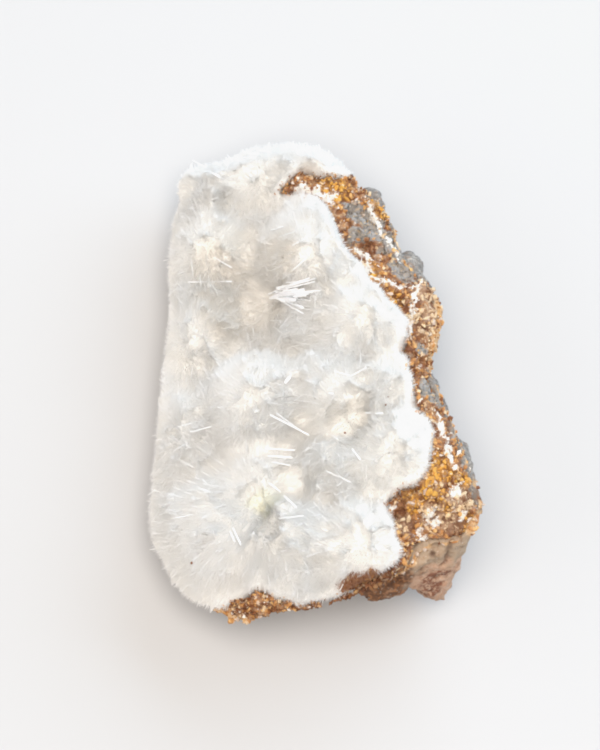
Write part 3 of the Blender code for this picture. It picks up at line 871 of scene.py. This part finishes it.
def shades_of(mesh):
    """Values for painted shade: where mounds hide the sky, far from the crust, in the low ground,
    and the tinted place.
    """
    hidden = [blocked_sky(*crystal_solid.find_nearest(v.co)[:2]) for v in mesh.vertices]
    hidden = smoothed(mesh, hidden, 4)
    tint = [patch_mask(v.co, GREEN_TINT, 0.8) for v in mesh.vertices]
    # Painted shade, greyer towards the side away from the crust, less at the far rim
    side_shade = [
        rise(-v.co.x, -SIDE_SHADE_FROM, -SIDE_SHADE_TO) * (0.3 + 0.7 * rise(v.co.x, *SIDE_SHADE_RIM))
        for v in mesh.vertices
    ]
    # Painted shade: the valley is painted greyer and warmer
    valley_shade = [patch_mask(v.co, VALLEY_SHADE, 0.3, 5 * MM) for v in mesh.vertices]
    # Painted shade: where mounds hide more of the sky, needles and body are painted greyer and
    # warmer
    hollow_shade = [rise(share, 0.15, 0.9) for share in hidden]
    return {"hollow_shade": hollow_shade, "tint": tint, "side_shade": side_shade, "valley_shade": smoothed(mesh, valley_shade, 6)}


print("a spray's needles lean by", CLUMP_STRAY, "in clumps and", SWIRL_STRAY, "in swirls")


# %% Growth on the body
def store_growth(obj, free):
    """Stores both headings, both reaches, where sprays meet and where needles grow."""
    roots = spray_roots()
    mesh = obj.data
    headings = {"heading": [], "crossing": []}
    reaches = {"reach": [], "crossing_reach": []}
    marks = {"meeting": [], "growth": [], "grains": [], "dark": []}
    for vertex, share in zip(mesh.vertices, free):
        point, normal = vertex.co, vertex.normal
        ranked = sorted(((point - root).length / size, root) for root, size in roots)
        for (_, root), heading_name, reach_name in zip(ranked, headings, reaches):
            heading = leaning(point, normal, root)
            headings[heading_name].extend(heading)
            reach = reach_of(point, heading)
            reaches[reach_name].append(EDGE_REACH + (reach - EDGE_REACH) * share)
        marks["meeting"].append(rise(ranked[0][0] / ranked[1][0], 0.55, 1.0) * 0.5)
        to_crust = rock_solids[1].find_nearest(point)[3]
        ragged = noise.noise(point / RAGGED_SIZE) + 0.5 * noise.noise(point / RAGGED_SIZE * 2.7)
        width = RAGGED_WIDTH * max(1.0 + 1.5 * ragged, 0.0)
        crumbly = 1 - rise(to_crust, 0.2 * MM, 0.3 * MM + 0.6 * width)
        brown = patch_mask(point, BROWN_SIDE, 0.4)
        crumbly = max(rise(crumbly, 0.25, 0.75), brown)
        marks["grains"].append(crumbly if normal.z > -0.2 else 0.6 * brown)
        marks["dark"].append(brown)
        covered = (1 - brown) * (1 - 0.8 * crumbly)
        marks["growth"].append(0.0 if normal.z < UNDERSIDE else covered)
    for name, values in headings.items():
        mesh.attributes.new(name, "FLOAT_VECTOR", "POINT").data.foreach_set("vector", values)
    add_values(mesh, {**reaches, **marks, **shades_of(mesh)})
    print("mean reach", round(sum(reaches["reach"]) / len(free) / MM, 2),
          "mm, longest", round(max(reaches["reach"]) / MM, 1), "mm")


store_growth(body, freedom)

# %% [markdown]
# ## Node trees that scatter and plant
# Needles and grains both repeat by the ten thousand, so Geometry Nodes make them: random points
# on a surface, one small shape on each point, a random tone for each shape, then plain mesh with
# a material. Those steps are written once. Particles or hair curves would be quicker to set up,
# but they don't export as a mesh.


# %% Helper: geometry trees
def geometry_tree(name, inputs):
    """A tree with named inputs, and the sockets that they arrive at."""
    tree = bpy.data.node_groups.new(name, "GeometryNodeTree")
    for side in ("OUTPUT", "INPUT"):
        tree.interface.new_socket("Geometry", in_out=side, socket_type="NodeSocketGeometry")
    for kind, names in inputs.items():
        for socket in names:
            tree.interface.new_socket(socket, in_out="INPUT", socket_type="NodeSocket" + kind)
    return tree, tree.nodes.new("NodeGroupInput").outputs


def scattered(tree, given, where):
    """Random points on the surface, fewer where a stored value is low."""
    return add(tree, "GeometryNodeDistributePointsOnFaces", {
        "Mesh": given["Geometry"], "Seed": given["Seed"],
        "Density": maths(tree, "MULTIPLY", where, given["Per Square Metre"]),
    }, distribute_method="RANDOM").outputs["Points"]


def planted(tree, points, shape, turn, scale, tone):
    """One shape on each point, turned, scaled and marked with its tone, then made real."""
    shapes = add(tree, "GeometryNodeInstanceOnPoints", {
        "Points": points, "Instance": shape, "Rotation": turn, "Scale": scale,
    }).outputs["Instances"]
    marked = add(tree, "GeometryNodeStoreNamedAttribute", {
        "Geometry": shapes, "Name": "tone", "Value": tone,
    }, data_type="FLOAT", domain="INSTANCE").outputs["Geometry"]
    return add(tree, "GeometryNodeRealizeInstances", {"Geometry": marked}).outputs["Geometry"]


def coated(tree, given, shapes):
    """Gives the shapes their material, and ends the tree."""
    coat = add(tree, "GeometryNodeSetMaterial", {"Geometry": shapes, "Material": given["Finish"]})
    add(tree, "NodeGroupOutput", {"Geometry": coat.outputs["Geometry"]})
    return tree


print("tree helpers ready")

# %% [markdown]
# ## Needles by Geometry Nodes
# A needle takes one of its point's two stored directions, with a little splay, and is stretched
# to its reach. It has only a few faces, because there are many.


# %% Needle: its direction
def stored(tree, name, kind="FLOAT"):
    """A value that the surface carries."""
    node = add(tree, "GeometryNodeInputNamedAttribute", {"Name": name}, data_type=kind)
    return node.outputs["Attribute"]


def chance(tree, given, low, high, draw):
    """A random number for each needle; every use has a draw of its own."""
    seed = maths(tree, "ADD", given["Seed"], draw)
    return add(
        tree, "FunctionNodeRandomValue", {2: low, 3: high, "Seed": seed}, data_type="FLOAT"
    ).outputs[1]


def own_or_crossing(tree, given):
    """The heading and the reach of the point's own spray or, by chance, of the next one."""
    crosses = add(tree, "FunctionNodeCompare", {
        "A": chance(tree, given, 0.0, 1.0, 100), "B": stored(tree, "meeting"),
    }, data_type="FLOAT", operation="LESS_THAN").outputs["Result"]
    chosen = []
    for own, other, kind, switch_kind in (
        ("heading", "crossing", "FLOAT_VECTOR", "VECTOR"),
        ("reach", "crossing_reach", "FLOAT", "FLOAT"),
    ):
        chosen.append(add(tree, "GeometryNodeSwitch", {
            "Switch": crosses, "False": stored(tree, own, kind), "True": stored(tree, other, kind),
        }, input_type=switch_kind).outputs[0])
    return chosen


def splayed(tree, given, heading):
    """The rotation that turns a needle along its heading, with a little splay."""
    stray = add(
        tree, "FunctionNodeRandomValue", {0: (-1, -1, -1), 1: (1, 1, 1), "Seed": given["Seed"]},
        data_type="FLOAT_VECTOR",
    ).outputs[0]
    splay = add(
        tree, "ShaderNodeVectorMath", {0: stray, "Scale": given["Splay"]}, operation="SCALE"
    ).outputs[0]
    way = add(tree, "ShaderNodeVectorMath", {0: heading, 1: splay}, operation="ADD").outputs[0]
    turn = add(tree, "FunctionNodeAlignRotationToVector", {"Vector": way}, axis="Z")
    return turn.outputs["Rotation"]


print("a needle has a heading and a reach")


# %% Needle: its size and shape
def needle_scale(tree, given, reach):
    """How thick and how long each needle is."""
    share = chance(tree, given, given["Shortest"], given["Longest"], 200)
    length = maths(tree, "MULTIPLY", share, reach)
    width = maths(tree, "MULTIPLY", chance(tree, given, 0.6, 1.3, 300), given["Thickness"])
    return add(tree, "ShaderNodeCombineXYZ", {"X": width, "Y": width, "Z": length}).outputs[0]


def one_needle(tree, given):
    """A closed cone a metre long, marked from 0 at its foot to 1 at its tip."""
    cone = add(tree, "GeometryNodeMeshCone", {
        "Vertices": given["Sides"], "Radius Top": given["Blunt"], "Radius Bottom": 0.5,
        "Depth": 1.0,
    }, fill_type="NGON").outputs["Mesh"]
    place = add(tree, "GeometryNodeInputPosition").outputs[0]
    height = add(tree, "ShaderNodeSeparateXYZ", {0: place}).outputs["Z"]
    return add(tree, "GeometryNodeStoreNamedAttribute", {
        "Geometry": cone, "Name": "along", "Value": height,
    }, data_type="FLOAT", domain="POINT").outputs["Geometry"]


def needle_tree():
    """The node tree that grows needles from a surface."""
    tree, given = geometry_tree("needle_sprays", {
        "Float": ("Per Square Metre", "Shortest", "Longest", "Thickness", "Splay", "Blunt"),
        "Int": ("Sides", "Seed"),
        "Material": ("Finish",),
    })
    points = scattered(tree, given, stored(tree, "growth"))
    heading, reach = own_or_crossing(tree, given)
    turn, scale = splayed(tree, given, heading), needle_scale(tree, given, reach)
    tone = chance(tree, given, 0.0, 1.0, 400)
    return coated(
        tree, given, planted(tree, points, one_needle(tree, given), turn, scale, tone)
    )


NEEDLES = needle_tree()
print("needle inputs", [s.name for s in NEEDLES.interface.items_tree if s.in_out == "INPUT"])

# %% Helper: grow a tree's piece
WORKING_VALUES = (
    "reach", "crossing_reach", "heading", "crossing", "meeting", "growth", "grains",
    "crease", "grey", "white",
)


def grown(name, surface, tree, values):
    """Adds a plain mesh piece, made by a node tree on a surface."""
    piece = placed(name, surface.data.copy())
    piece.data.materials.clear()
    modifier = piece.modifiers.new(name, "NODES")
    modifier.node_group = tree
    for socket in tree.interface.items_tree:
        if socket.in_out == "INPUT" and socket.name in values:
            modifier[socket.identifier] = values[socket.name]
    applied(piece)
    layers = piece.data.attributes
    # By name, because each removal moves the layers that are left
    for layer in [layer.name for layer in layers if layer.name in WORKING_VALUES]:
        layers.remove(layers[layer])
    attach(piece, "root")
    print(name, sum(len(p.vertices) - 2 for p in piece.data.polygons), "triangles")


print("each piece leaves", len(WORKING_VALUES), "working values behind")

# %% [markdown]
# ## Loose grains
# The crust crumbles: grains of all tones, from dark brown to cream, stick to it and to the
# foot of the nearest needles, so the border between brown and white is ragged. A grain is a
# coarse ball, squeezed and turned at random, and each one has its own tone. Most are small, so
# a power of a random share sets the size.

# %% Grain tree
SQUEEZED_LEAST, SQUEEZED_MOST = (0.35, 0.6, 0.3), (1.0, 1.7, 0.8)
ANY_TURN = (6.28, 6.28, 6.28)
DENT_SIZE, DENT_DEPTH = 0.3 * MM, 0.7 * MM


def random_vector(tree, least, most):
    """A random vector for each grain."""
    return add(
        tree, "FunctionNodeRandomValue", {0: least, 1: most}, data_type="FLOAT_VECTOR"
    ).outputs[0]


def grain_scale(tree, given):
    """Each grain's size, most of them small, and how it is squeezed."""
    share = add(tree, "FunctionNodeRandomValue", {"Seed": given["Seed"]}, data_type="FLOAT")
    size = add(tree, "ShaderNodeMapRange", {
        "Value": maths(tree, "POWER", share.outputs[1], 3.0),
        "To Min": given["Smallest"], "To Max": given["Largest"],
    }).outputs["Result"]
    squeeze = random_vector(tree, SQUEEZED_LEAST, SQUEEZED_MOST)
    return add(
        tree, "ShaderNodeVectorMath", {0: squeeze, "Scale": size}, operation="SCALE"
    ).outputs[0]


def dented(tree, grains):
    """The real grains with each corner moved by a fine noise, so that no two are alike."""
    wrinkle = add(tree, "ShaderNodeTexNoise", {"Scale": 1 / DENT_SIZE, "Detail": 1.0})
    centred = add(
        tree, "ShaderNodeVectorMath", {0: wrinkle.outputs["Color"], 1: (0.5, 0.5, 0.5)},
        operation="SUBTRACT",
    ).outputs[0]
    dent = add(
        tree, "ShaderNodeVectorMath", {0: centred, "Scale": DENT_DEPTH}, operation="SCALE"
    ).outputs[0]
    return add(
        tree, "GeometryNodeSetPosition", {"Geometry": grains, "Offset": dent}
    ).outputs["Geometry"]


def grain_tree():
    """The node tree that scatters grains over a surface."""
    tree, given = geometry_tree("loose_grains", {
        "Float": ("Per Square Metre", "Smallest", "Largest"),
        "String": ("Where",),
        "Int": ("Seed",),
        "Material": ("Finish",),
    })
    points = scattered(tree, given, stored(tree, given["Where"]))
    ball = add(tree, "GeometryNodeMeshIcoSphere", {"Radius": 0.5, "Subdivisions": 1})
    turn = random_vector(tree, (0, 0, 0), ANY_TURN)
    tone = add(tree, "FunctionNodeRandomValue", {2: 0.0, 3: 1.0}, data_type="FLOAT").outputs[1]
    grains = planted(tree, points, ball.outputs["Mesh"], turn, grain_scale(tree, given), tone)
    return coated(tree, given, dented(tree, grains))


GRAINS = grain_tree()
print("grain inputs", [s.name for s in GRAINS.interface.items_tree if s.in_out == "INPUT"])

# %% Brown grains
grainy = Layers("crust_grains", 0.6, (128, 78, 42))
grainy.paint(grainy.step("tone", 0.20), (204, 148, 86))
grainy.paint(grainy.step("tone", 0.40), (230, 184, 120))
grainy.paint(grainy.step("tone", 0.58), (190, 134, 80))
grainy.paint("gold", (238, 182, 78), 0.75)
grainy.paint("pale", (244, 224, 190), 0.72)
grainy.paint(grainy.step("tone", 0.74), (244, 222, 184), 0.8)
grainy.paint(grainy.step("tone", 0.90), (206, 186, 174), 0.8)
grainy.paint(grainy.step("tone", 0.95), (247, 240, 230))
grainy.paint("dark", (104, 62, 36), 0.75)
grainy.paint(grainy.mottle(0.4 * MM, 0.55, 0.1), (128, 80, 46), 0.35)
grain_finish = grainy.finish(0.25 * MM, 0.04 * MM)
ON_CRUST = {
    "Per Square Metre": 3.0e6, "Smallest": 0.16 * MM, "Largest": 1.25 * MM, "Where": "grains",
    "Seed": 5, "Finish": grain_finish,
}
grown("crust_grains", crust, GRAINS, ON_CRUST)
ON_CRYSTALS = {**ON_CRUST, "Per Square Metre": 5.4e6, "Largest": 0.9 * MM, "Seed": 6}
grown("edge_grains", body, GRAINS, ON_CRYSTALS)
ON_ROCK = {**ON_CRUST, "Where": "rusty", "Per Square Metre": 5.0e6, "Seed": 8}
grown("rock_grains", rock, GRAINS, ON_ROCK)

# %% White grains
white_grain = Layers("white_grains", 0.45, (250, 248, 244))
white_grain.paint(white_grain.mottle(0.5 * MM, 0.5, 0.1), (236, 228, 216))
ON_SEAMS = {
    "Per Square Metre": 6.0e6, "Smallest": 0.25 * MM, "Largest": 0.7 * MM, "Where": "white",
    "Seed": 9, "Finish": white_grain.finish(0.2 * MM, 0.04 * MM),
}
grown("white_grains", crust, GRAINS, ON_SEAMS)

# %% [markdown]
# ## Finish of the needles
# A single needle is clear, but thousands together look white and silky, because light goes in
# and out of one after another before it comes back. Clear needles by the thousand would be slow
# to render and would be exported as see-through. So the needles are white, and scatter light
# inside: nearly pure white at the foot, where they crowd, and a little less at the tip.


# %% Needle finish
MESOLITE_IOR = 1.505


def paint_shades(layers, valley_shade, valley_shade_strength):
    """Lays painted shade, greyer and warmer, and the tinted place that needles and body share."""
    layers.paint("side_shade", (244, 243, 241), 0.35)
    layers.paint("hollow_shade", (240, 237, 231), 0.4)
    layers.paint("valley_shade", valley_shade, valley_shade_strength)
    layers.paint("tint", (236, 235, 219), 0.6)


def needle_finish(name, foot, tip, roughness):
    """A needle's colour from its foot to its tip, with a small difference for each needle."""
    white = Layers(name, roughness, foot)
    white.paint(white.power("along", 1.2), tip)
    paint_shades(white, (232, 227, 218), 0.55)
    white.paint(white.power("tone", 3.0), (252, 252, 252), 0.4)
    return white.smooth_finish({
        "IOR": MESOLITE_IOR, "Sheen Weight": 0.05, "Subsurface Weight": 0.8,
        "Subsurface Radius": (1.0, 1.0, 1.0), "Subsurface Scale": 0.25 * MM,
    })


fine_finish = needle_finish("mesolite_needles", (253, 253, 252), (246, 246, 244), 0.5)
stout_finish = needle_finish("mesolite_prisms", (252, 252, 251), (250, 250, 250), 0.32)
print("needle finishes", fine_finish.name, stout_finish.name)

# %% Finish of the body
# Painted shade: the body is painted greyer than the needles, as the needles over it shade it
body_finish = Layers("mesolite_body", 0.6, (238, 236, 232))
body_finish.paint(body_finish.mottle(1.2 * MM, 0.5, 0.15), (243, 242, 239))
paint_shades(body_finish, (234, 229, 221), 0.5)
body_finish.paint("dark", (132, 88, 58))
coat_smoothly(body, body_finish.finish(0.3 * MM, 0.06 * MM))
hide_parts("mesolite_crystals")
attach(body, "root")

# %% Fine needles
FINE = {
    "Per Square Metre": 5.6e6, "Shortest": 0.6, "Longest": 1.1, "Thickness": 0.10 * MM,
    "Splay": 0.17, "Blunt": 0.0, "Sides": 3, "Finish": fine_finish,
}
for number in (1, 2, 3, 4, 5):
    grown(f"needles_fine_{number}", body, NEEDLES, {**FINE, "Seed": number})

# %% Stout needles
STOUT = {
    "Per Square Metre": 0.35e6, "Shortest": 0.8, "Longest": 1.35, "Thickness": 0.19 * MM,
    "Splay": 0.22, "Blunt": 0.3, "Sides": 4, "Finish": stout_finish, "Seed": 7,
}
grown("needles_stout", body, NEEDLES, STOUT)

# %% [markdown]
# ## Single bright needles
# Here and there a thicker needle lies across the others and shines from end to end. These
# aren't scattered: each is listed, from one place on the mass to another, and a ray
# straight down finds the height of both ends. One is a six-sided prism with a short point. A
# bunch of them fans out from one place, and its last few are clear.

# %% Where single needles lie
# Start and end of each needle, as x and y in mm, and its width
LAID = [
    ((-22.5, 18.0), (-14.3, 18.1), 0.22), ((-7.3, -10.7), (-0.2, -13.5), 0.30),
    ((-6.2, -10.4), (-2.0, -12.3), 0.24), ((-8.2, -15.5), (-2.7, -15.9), 0.26),
    ((-7.6, -17.1), (-3.2, -17.2), 0.34), ((-6.9, -18.5), (-3.6, -18.6), 0.24),
    ((-13.7, -30.5), (-12.2, -34.0), 0.32), ((-14.2, -31.1), (-13.3, -33.2), 0.22),
    ((-21.6, -11.8), (-17.6, -11.3), 0.22), ((-11.6, 42.6), (-9.6, 41.2), 0.34),
    ((-9.4, 42.6), (-7.6, 41.4), 0.30), ((-13.2, 41.8), (-11.8, 41.2), 0.28),
    ((-26.6, -24.4), (-24.9, -24.8), 0.28), ((-24.5, -27.8), (-20.8, -27.6), 0.20),
    ((-17.7, 22.3), (-14.4, 20.4), 0.20), ((-7.4, -22.2), (-5.3, -23.6), 0.24),
    ((-4.8, -25.5), (-2.5, -28.0), 0.22), ((-5.6, -30.2), (-1.3, -29.9), 0.18),
    ((7.0, -4.9), (9.8, -3.5), 0.20), ((4.0, -3.9), (6.8, -4.9), 0.22),
    ((7.1, -18.1), (8.6, -20.6), 0.30), ((2.6, -21.7), (6.9, -24.0), 0.24),
    ((9.6, -10.9), (12.6, -12.3), 0.50), ((-4.6, -5.1), (-3.6, -3.8), 0.70),
    ((3.1, -7.8), (4.0, -8.2), 0.36), ((-3.2, 16.2), (-0.8, 17.6), 0.22),
    ((-7.2, 25.3), (-4.9, 24.9), 0.26), ((-5.6, 23.4), (-2.6, 22.9), 0.22),
    ((-18.0, 37.6), (-16.6, 37.1), 0.34), ((-3.4, 20.6), (-0.6, 21.4), 0.20),
    ((-24.4, -14.6), (-22.2, -14.2), 0.24), ((-18.2, -8.0), (-16.0, -7.2), 0.18),
]
LIFT_OVER_TIPS = 0.25 * MM
# A cluster of needles fans out to the right of one place
CLUSTER_PLACE = (-7.4, 14.2)
CLUSTER_COUNT, CLUSTER_LENGTHS, CLUSTER_ANGLES = 60, (1.5, 6.5), (-46, 0)
CLEAR_COUNT = 4
print(len(LAID), "laid needles and", CLUSTER_COUNT, "in the cluster")


# %% Helper: one laid needle
# Mesolite prisms are a little flat: how far each corner lies from the middle, on both axes
FLAT_ACROSS, FLAT_HIGH = 1.25, 0.75
FOOT_WIDTH = 0.8


def prism(start, end, width, sides=6):
    """The points and faces of one needle: a prism with a short point at its end."""
    axis = (end - start).normalized()
    across = axis.orthogonal().normalized()
    other = axis.cross(across)
    length = (end - start).length
    points = []
    for share, radius in ((0.0, FOOT_WIDTH), (max(1 - 1.2 * width / length, 0.7), 1.0)):
        for number in range(sides):
            turn = math.tau * number / sides
            arm = across * math.cos(turn) * FLAT_ACROSS + other * math.sin(turn) * FLAT_HIGH
            points.append(start + axis * length * share + arm * width / 2 * radius)
    points.append(end)
    low, high = range(sides), range(sides, 2 * sides)
    faces = [tuple(reversed(low))]
    for number in low:
        following = (number + 1) % sides
        faces.append((low[number], low[following], high[following], high[number]))
        faces.append((high[number], high[following], 2 * sides))
    return points, faces


def on_mass(x, y, lift):
    """The place over x and y that lies a lift above the crystal solid."""
    hit = crystal_solid.ray_cast(Vector((x * MM, y * MM, HIGH_ABOVE)), Vector((0, 0, -1)))
    return hit[0] + Vector((0, 0, lift))


print("one needle has", len(prism(Vector((0, 0, 0)), Vector((0, 0, MM)), MM)[1]), "faces")


# %% Laid needles
def laid_piece(name, ends, finish):
    """Adds one mesh of all needles between pairs of places."""
    points, faces = [], []
    for start, end, width in ends:
        more_points, more_faces = prism(start, end, width)
        faces.extend(tuple(i + len(points) for i in face) for face in more_faces)
        points.extend(more_points)
    mesh = bpy.data.meshes.new(name)
    mesh.from_pydata(points, [], faces)
    mesh.materials.append(finish)
    piece = placed(name, mesh)
    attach(piece, "root")
    print(name, len(ends), "needles")


def laid_ends():
    """The listed needles."""
    return [
        (on_mass(*start, 0.0), on_mass(*end, LIFT_OVER_TIPS), width * MM)
        for start, end, width in LAID
    ]


def cluster_ends():
    """The needles of the cluster, which start close together and fan out."""
    random.seed(41)
    ends = []
    for _ in range(CLUSTER_COUNT):
        angle = math.radians(random.uniform(*CLUSTER_ANGLES))
        first, length = random.uniform(0, 2.5), random.uniform(*CLUSTER_LENGTHS)
        x, y = (c + random.uniform(-0.7, 0.7) for c in CLUSTER_PLACE)
        way = Vector((math.cos(angle), math.sin(angle)))
        start = on_mass(x + way.x * first, y + way.y * first, -0.3 * MM)
        end = on_mass(x + way.x * (first + length), y + way.y * (first + length), 0.0)
        end.z += random.uniform(0.1, 0.6) * MM
        ends.append((start, end, random.uniform(0.14, 0.34) * MM))
    return ends


bright = Layers("bright_needles", 0.3, (254, 254, 255))
bright.paint(bright.mottle(0.8 * MM, 0.55, 0.1), (250, 252, 255))
bright_finish = bright.smooth_finish({
    "IOR": MESOLITE_IOR, "Coat Weight": 0.5, "Coat Roughness": 0.05,
})
laid_piece("needles_laid", laid_ends(), bright_finish)

clear = Layers("clear_needles", 0.08, (253, 254, 255))
clear.paint(clear.mottle(0.6 * MM, 0.55, 0.1), (247, 249, 252))
clear_finish = clear.smooth_finish({"IOR": MESOLITE_IOR, "Transmission Weight": 0.6})
cluster = cluster_ends()
laid_piece("needles_cluster", cluster[:-CLEAR_COUNT], bright_finish)
laid_piece("needles_clear", cluster[-CLEAR_COUNT:], clear_finish)

# %% [markdown]
# ## Crumbs on the needles
# A few grains of rust have fallen on the white needles. There are so few that they are placed
# one by one, as small balls that noise has dented.

# %% Crumbs on the needles
CRUMBS = [(-20.9, -36.1, 0.5), (5.9, -14.2, 0.42), (13.0, -10.5, 0.36), (13.4, -9.2, 0.25)]


def crumb_piece():
    """A few brown grains that have fallen on the white needles."""
    build = bmesh.new()
    for x, y, size in CRUMBS:
        made = bmesh.ops.create_icosphere(build, subdivisions=2, radius=size * MM / 2)
        place = on_mass(x, y, 0.1 * MM)
        for vertex in made["verts"]:
            bump = 1 + 0.5 * noise.noise(vertex.co / (0.2 * MM) + Vector((x, y, 0)))
            vertex.co = place + vertex.co * bump
    mesh = bpy.data.meshes.new("crumbs")
    build.to_mesh(mesh)
    build.free()
    mesh.materials.append(grain_finish)
    piece = placed("crumbs", mesh)
    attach(piece, "root")
    print(len(CRUMBS), "crumbs")


crumb_piece()

# %% [markdown]
# ## Finish the scene
# The last step prints how large the solids and the dressed object are.

# %% Finish the scene
for name, piece_box in (("solids", solid_box), ("scene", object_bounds())):
    print(name, [[round(c / MM, 1) for c in corner] for corner in piece_box])
